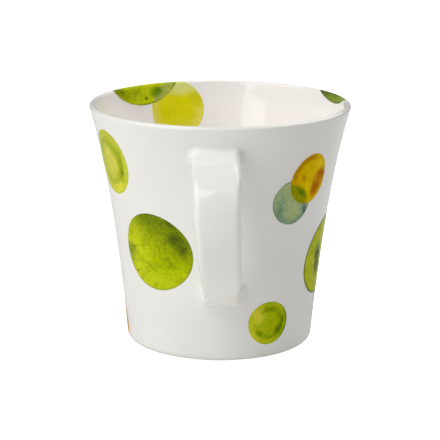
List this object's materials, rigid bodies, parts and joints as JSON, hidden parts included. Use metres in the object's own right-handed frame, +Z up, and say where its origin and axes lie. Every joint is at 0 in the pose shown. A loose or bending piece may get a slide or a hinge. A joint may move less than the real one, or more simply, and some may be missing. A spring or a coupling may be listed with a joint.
{
  "type": "mug",
  "caption": "Flared white porcelain mug with a strap handle, a foot ring and watercolour spot transfers outside and inside.",
  "frame": {"origin": "on the ground plane, under the middle of the whole mug, handle included", "axes": "+Z up, the handle reaches towards -Y, +X to the right of somebody who faces the handle"},
  "size_m": [0.095, 0.1186, 0.0892],
  "materials": {
    "porcelain": "clear gloss glaze over white porcelain, foot ring left bare",
    "slip": "porcelain slip, glazed with the body",
    "transfer_lime": "watercolour-look ceramic transfer fired into a gloss glaze, lime",
    "transfer_green": "watercolour-look ceramic transfer fired into a gloss glaze, leaf green",
    "transfer_yellow": "watercolour-look ceramic transfer fired into a gloss glaze, yellow",
    "transfer_orange": "watercolour-look ceramic transfer fired into a gloss glaze, orange yellow",
    "transfer_teal": "watercolour-look ceramic transfer fired into a gloss glaze, grey teal"
  },
  "bodies": {
    "root": {"cup_body": "porcelain", "handle": "porcelain", "handle_slip_upper": "slip", "handle_slip_lower": "slip", "spot_lime_ring": "transfer_lime", "spot_green_large": "transfer_green", "spot_orange": "transfer_orange", "spot_teal": "transfer_teal", "spot_lime_outlined": "transfer_lime", "spot_lime_small": "transfer_lime", "spot_amber": "transfer_orange", "spot_teal_side": "transfer_teal", "spot_green_side": "transfer_green", "spot_yellow_low": "transfer_yellow", "spot_lime_back": "transfer_lime", "spot_teal_back": "transfer_teal", "spot_orange_back": "transfer_orange", "spot_green_back": "transfer_green", "spot_lime_low": "transfer_lime", "inner_spot_green": "transfer_green", "inner_spot_yellow": "transfer_yellow", "inner_spot_dark": "transfer_green", "inner_spot_orange": "transfer_orange", "inner_spot_teal": "transfer_teal"}
  },
  "joints": []
}
